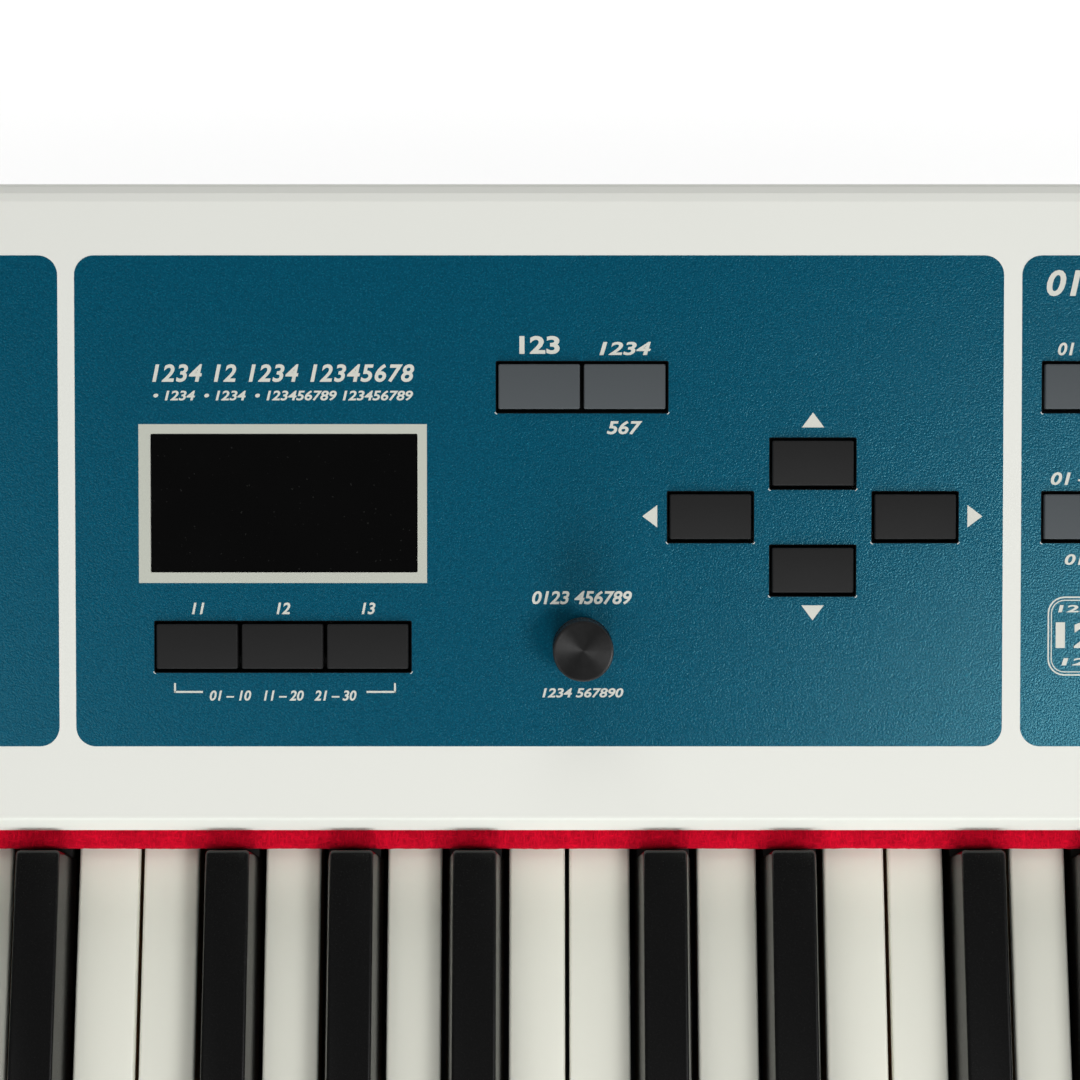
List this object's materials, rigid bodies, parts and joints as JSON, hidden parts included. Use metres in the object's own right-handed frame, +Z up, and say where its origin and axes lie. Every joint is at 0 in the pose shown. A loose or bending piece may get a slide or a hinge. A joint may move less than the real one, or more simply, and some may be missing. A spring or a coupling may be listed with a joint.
{
  "type": "stage piano",
  "caption": "Full-size stage piano: weighted keyboard under a white sloping control panel with display, buttons, data knob, sliders, wheels, red key felt and rear connectors.",
  "frame": {"origin": "on the surface under the feet, below the middle of the body", "axes": "+X from the bass end to the treble end, +Y from the player to the rear, +Z up"},
  "size_m": [1.291, 0.308, 0.135],
  "materials": {
    "panel_white": "warm white powder coat with a fine grain",
    "case_white": "warm white, satin",
    "tray_black": "black, matte",
    "frame_metal": "zinc plated, dull",
    "rubber": "matte black",
    "felt_red": "red wool felt",
    "key_white": "ivory white, satin gloss",
    "key_black": "matte black",
    "button_black": "satin black",
    "button_grey": "satin dark grey",
    "knob_black": "black with a turned face",
    "screen_black": "glossy black window",
    "bracket_steel": "plain steel",
    "board_green": "circuit board",
    "socket_black": "moulded connector housings"
  },
  "bodies": {
    "chassis": {"base_tray": "tray_black", "foot_1": "rubber", "foot_2": "rubber", "foot_3": "rubber", "foot_4": "rubber", "left_cheek": "case_white", "right_cheek": "case_white", "key_slip": "case_white", "felt_strip": "felt_red", "top_panel": "panel_white", "rear_panel_left": "panel_white", "rear_panel_middle": "panel_white", "rear_panel_right": "panel_white", "key_frame": "frame_metal", "display_lens": "screen_black", "panel_board": "board_green", "main_board": "board_green", "output_jacks": "socket_black", "data_sockets": "socket_black", "power_inlet": "socket_black", "wheel_bracket": "bracket_steel"},
    "keys_A0_to_B1": {"keys_A0_to_B1": "key_white"},
    "keys_C2_to_E3": {"keys_C2_to_E3": "key_white"},
    "key_F3": {"key_F3": "key_white"},
    "key_F3_sharp": {"key_F3_sharp": "key_black"},
    "key_G3": {"key_G3": "key_white"},
    "key_G3_sharp": {"key_G3_sharp": "key_black"},
    "key_A3": {"key_A3": "key_white"},
    "key_A3_sharp": {"key_A3_sharp": "key_black"},
    "key_B3": {"key_B3": "key_white"},
    "key_C4": {"key_C4": "key_white"},
    "key_C4_sharp": {"key_C4_sharp": "key_black"},
    "key_D4": {"key_D4": "key_white"},
    "key_D4_sharp": {"key_D4_sharp": "key_black"},
    "key_E4": {"key_E4": "key_white"},
    "keys_F4_to_B4": {"keys_F4_to_B4": "key_white"},
    "keys_C5_to_B5": {"keys_C5_to_B5": "key_white"},
    "keys_C6_to_B6": {"keys_C6_to_B6": "key_white"},
    "keys_C7_to_C8": {"keys_C7_to_C8": "key_white"},
    "f1_button": {"f1_button": "button_black"},
    "f2_button": {"f2_button": "button_black"},
    "f3_button": {"f3_button": "button_black"},
    "menu_button_1": {"menu_button_1": "button_grey"},
    "menu_button_2": {"menu_button_2": "button_grey"},
    "up_button": {"up_button": "button_black"},
    "down_button": {"down_button": "button_black"},
    "left_button": {"left_button": "button_black"},
    "right_button": {"right_button": "button_black"},
    "sound_button_1": {"sound_button_1": "button_grey"},
    "memory_button_1": {"memory_button_1": "button_grey"},
    "sound_bank": {"sound_bank": "button_grey"},
    "memory_bank": {"memory_bank": "button_grey"},
    "data_knob": {"data_knob": "knob_black"},
    "volume_knob": {"volume_knob": "knob_black"},
    "slider_1": {"slider_1": "knob_black"},
    "slider_2": {"slider_2": "knob_black"},
    "slider_3": {"slider_3": "knob_black"},
    "pitch_wheel": {"pitch_wheel": "knob_black"},
    "modulation_wheel": {"modulation_wheel": "knob_black"},
    "power_switch": {"power_switch": "button_black"}
  },
  "joints": [
    {"name": "keys_A0_to_B1_pivot", "type": "hinge", "parent": "chassis", "child": "keys_A0_to_B1", "pos_m": [-0.50676, 0.0912, 0.056], "axis": [1, 0, 0], "range_deg": [0, 2.56], "stiffness_Nm_per_rad": 11.157, "springref_deg": -14.32},
    {"name": "keys_C2_to_E3_pivot", "type": "hinge", "parent": "chassis", "child": "keys_C2_to_E3", "pos_m": [-0.28284, 0.0912, 0.056], "axis": [1, 0, 0], "range_deg": [0, 2.56], "stiffness_Nm_per_rad": 12.537, "springref_deg": -14.32},
    {"name": "key_F3_pivot", "type": "hinge", "parent": "chassis", "child": "key_F3", "pos_m": [-0.15321, 0.0912, 0.056], "axis": [1, 0, 0], "range_deg": [0, 2.56], "stiffness_Nm_per_rad": 0.765, "springref_deg": -14.32},
    {"name": "key_F3_sharp_pivot", "type": "hinge", "parent": "chassis", "child": "key_F3_sharp", "pos_m": [-0.14492, 0.0912, 0.056], "axis": [1, 0, 0], "range_deg": [0, 2.56], "stiffness_Nm_per_rad": 0.673, "springref_deg": -14.32},
    {"name": "key_G3_pivot", "type": "hinge", "parent": "chassis", "child": "key_G3", "pos_m": [-0.12964, 0.0912, 0.056], "axis": [1, 0, 0], "range_deg": [0, 2.56], "stiffness_Nm_per_rad": 0.765, "springref_deg": -14.32},
    {"name": "key_G3_sharp_pivot", "type": "hinge", "parent": "chassis", "child": "key_G3_sharp", "pos_m": [-0.11785, 0.0912, 0.056], "axis": [1, 0, 0], "range_deg": [0, 2.56], "stiffness_Nm_per_rad": 0.673, "springref_deg": -14.32},
    {"name": "key_A3_pivot", "type": "hinge", "parent": "chassis", "child": "key_A3", "pos_m": [-0.10607, 0.0912, 0.056], "axis": [1, 0, 0], "range_deg": [0, 2.56], "stiffness_Nm_per_rad": 0.765, "springref_deg": -14.32},
    {"name": "key_A3_sharp_pivot", "type": "hinge", "parent": "chassis", "child": "key_A3_sharp", "pos_m": [-0.09098, 0.0912, 0.056], "axis": [1, 0, 0], "range_deg": [0, 2.56], "stiffness_Nm_per_rad": 0.673, "springref_deg": -14.32},
    {"name": "key_B3_pivot", "type": "hinge", "parent": "chassis", "child": "key_B3", "pos_m": [-0.0825, 0.0912, 0.056], "axis": [1, 0, 0], "range_deg": [0, 2.56], "stiffness_Nm_per_rad": 0.765, "springref_deg": -14.32},
    {"name": "key_C4_pivot", "type": "hinge", "parent": "chassis", "child": "key_C4", "pos_m": [-0.05893, 0.0912, 0.056], "axis": [1, 0, 0], "range_deg": [0, 2.56], "stiffness_Nm_per_rad": 0.765, "springref_deg": -14.32},
    {"name": "key_C4_sharp_pivot", "type": "hinge", "parent": "chassis", "child": "key_C4_sharp", "pos_m": [-0.04939, 0.0912, 0.056], "axis": [1, 0, 0], "range_deg": [0, 2.56], "stiffness_Nm_per_rad": 0.673, "springref_deg": -14.32},
    {"name": "key_D4_pivot", "type": "hinge", "parent": "chassis", "child": "key_D4", "pos_m": [-0.03536, 0.0912, 0.056], "axis": [1, 0, 0], "range_deg": [0, 2.56], "stiffness_Nm_per_rad": 0.765, "springref_deg": -14.32},
    {"name": "key_D4_sharp_pivot", "type": "hinge", "parent": "chassis", "child": "key_D4_sharp", "pos_m": [-0.02132, 0.0912, 0.056], "axis": [1, 0, 0], "range_deg": [0, 2.56], "stiffness_Nm_per_rad": 0.673, "springref_deg": -14.32},
    {"name": "key_E4_pivot", "type": "hinge", "parent": "chassis", "child": "key_E4", "pos_m": [-0.01178, 0.0912, 0.056], "axis": [1, 0, 0], "range_deg": [0, 2.56], "stiffness_Nm_per_rad": 0.765, "springref_deg": -14.32},
    {"name": "keys_F4_to_B4_pivot", "type": "hinge", "parent": "chassis", "child": "keys_F4_to_B4", "pos_m": [0.04714, 0.0912, 0.056], "axis": [1, 0, 0], "range_deg": [0, 2.56], "stiffness_Nm_per_rad": 5.099, "springref_deg": -14.32},
    {"name": "keys_C5_to_B5_pivot", "type": "hinge", "parent": "chassis", "child": "keys_C5_to_B5", "pos_m": [0.17678, 0.0912, 0.056], "axis": [1, 0, 0], "range_deg": [0, 2.56], "stiffness_Nm_per_rad": 8.823, "springref_deg": -14.32},
    {"name": "keys_C6_to_B6_pivot", "type": "hinge", "parent": "chassis", "child": "keys_C6_to_B6", "pos_m": [0.34176, 0.0912, 0.056], "axis": [1, 0, 0], "range_deg": [0, 2.56], "stiffness_Nm_per_rad": 8.823, "springref_deg": -14.32},
    {"name": "keys_C7_to_C8_pivot", "type": "hinge", "parent": "chassis", "child": "keys_C7_to_C8", "pos_m": [0.51854, 0.0912, 0.056], "axis": [1, 0, 0], "range_deg": [0, 2.56], "stiffness_Nm_per_rad": 9.772, "springref_deg": -14.32},
    {"name": "f1_button_press", "type": "slide", "parent": "chassis", "child": "f1_button", "axis": [0, 0.2588, -0.9659], "range_m": [0, 0.0008], "stiffness_N_per_m": 600, "springref_m": -0.0015},
    {"name": "f2_button_press", "type": "slide", "parent": "chassis", "child": "f2_button", "axis": [0, 0.2588, -0.9659], "range_m": [0, 0.0008], "stiffness_N_per_m": 600, "springref_m": -0.0015},
    {"name": "f3_button_press", "type": "slide", "parent": "chassis", "child": "f3_button", "axis": [0, 0.2588, -0.9659], "range_m": [0, 0.0008], "stiffness_N_per_m": 600, "springref_m": -0.0015},
    {"name": "menu_button_1_press", "type": "slide", "parent": "chassis", "child": "menu_button_1", "axis": [0, 0.2588, -0.9659], "range_m": [0, 0.0008], "stiffness_N_per_m": 600, "springref_m": -0.0015},
    {"name": "menu_button_2_press", "type": "slide", "parent": "chassis", "child": "menu_button_2", "axis": [0, 0.2588, -0.9659], "range_m": [0, 0.0008], "stiffness_N_per_m": 600, "springref_m": -0.0015},
    {"name": "up_button_press", "type": "slide", "parent": "chassis", "child": "up_button", "axis": [0, 0.2588, -0.9659], "range_m": [0, 0.0008], "stiffness_N_per_m": 600, "springref_m": -0.0015},
    {"name": "down_button_press", "type": "slide", "parent": "chassis", "child": "down_button", "axis": [0, 0.2588, -0.9659], "range_m": [0, 0.0008], "stiffness_N_per_m": 600, "springref_m": -0.0015},
    {"name": "left_button_press", "type": "slide", "parent": "chassis", "child": "left_button", "axis": [0, 0.2588, -0.9659], "range_m": [0, 0.0008], "stiffness_N_per_m": 600, "springref_m": -0.0015},
    {"name": "right_button_press", "type": "slide", "parent": "chassis", "child": "right_button", "axis": [0, 0.2588, -0.9659], "range_m": [0, 0.0008], "stiffness_N_per_m": 600, "springref_m": -0.0015},
    {"name": "sound_button_1_press", "type": "slide", "parent": "chassis", "child": "sound_button_1", "axis": [0, 0.2588, -0.9659], "range_m": [0, 0.0008], "stiffness_N_per_m": 600, "springref_m": -0.0015},
    {"name": "memory_button_1_press", "type": "slide", "parent": "chassis", "child": "memory_button_1", "axis": [0, 0.2588, -0.9659], "range_m": [0, 0.0008], "stiffness_N_per_m": 600, "springref_m": -0.0015},
    {"name": "sound_bank_press", "type": "slide", "parent": "chassis", "child": "sound_bank", "axis": [0, 0.2588, -0.9659], "range_m": [0, 0.0008], "stiffness_N_per_m": 1200, "springref_m": -0.0015},
    {"name": "memory_bank_press", "type": "slide", "parent": "chassis", "child": "memory_bank", "axis": [0, 0.2588, -0.9659], "range_m": [0, 0.0008], "stiffness_N_per_m": 1200, "springref_m": -0.0015},
    {"name": "data_knob_turn", "type": "hinge", "parent": "chassis", "child": "data_knob", "pos_m": [-0.0676, 0.05704, 0.1086], "axis": [0, -0.2588, 0.9659], "continuous": true},
    {"name": "volume_knob_turn", "type": "hinge", "parent": "chassis", "child": "volume_knob", "pos_m": [-0.39, 0.08688, 0.1166], "axis": [0, -0.2588, 0.9659], "range_deg": [-300, 0]},
    {"name": "slider_1_travel", "type": "slide", "parent": "chassis", "child": "slider_1", "axis": [0, 0.9659, 0.2588], "range_m": [0, 0.04]},
    {"name": "slider_2_travel", "type": "slide", "parent": "chassis", "child": "slider_2", "axis": [0, 0.9659, 0.2588], "range_m": [0, 0.04]},
    {"name": "slider_3_travel", "type": "slide", "parent": "chassis", "child": "slider_3", "axis": [0, 0.9659, 0.2588], "range_m": [0, 0.04]},
    {"name": "pitch_wheel_turn", "type": "hinge", "parent": "chassis", "child": "pitch_wheel", "pos_m": [-0.585, 0.09714, 0.10537], "axis": [1, 0, 0], "range_deg": [-50, 50], "stiffness_Nm_per_rad": 0.05},
    {"name": "modulation_wheel_turn", "type": "hinge", "parent": "chassis", "child": "modulation_wheel", "pos_m": [-0.56, 0.09714, 0.10537], "axis": [1, 0, 0], "range_deg": [-80, 0]},
    {"name": "power_switch_press", "type": "slide", "parent": "chassis", "child": "power_switch", "axis": [0, -1, 0], "range_m": [0, 0.001], "stiffness_N_per_m": 600, "springref_m": -0.0015}
  ]
}
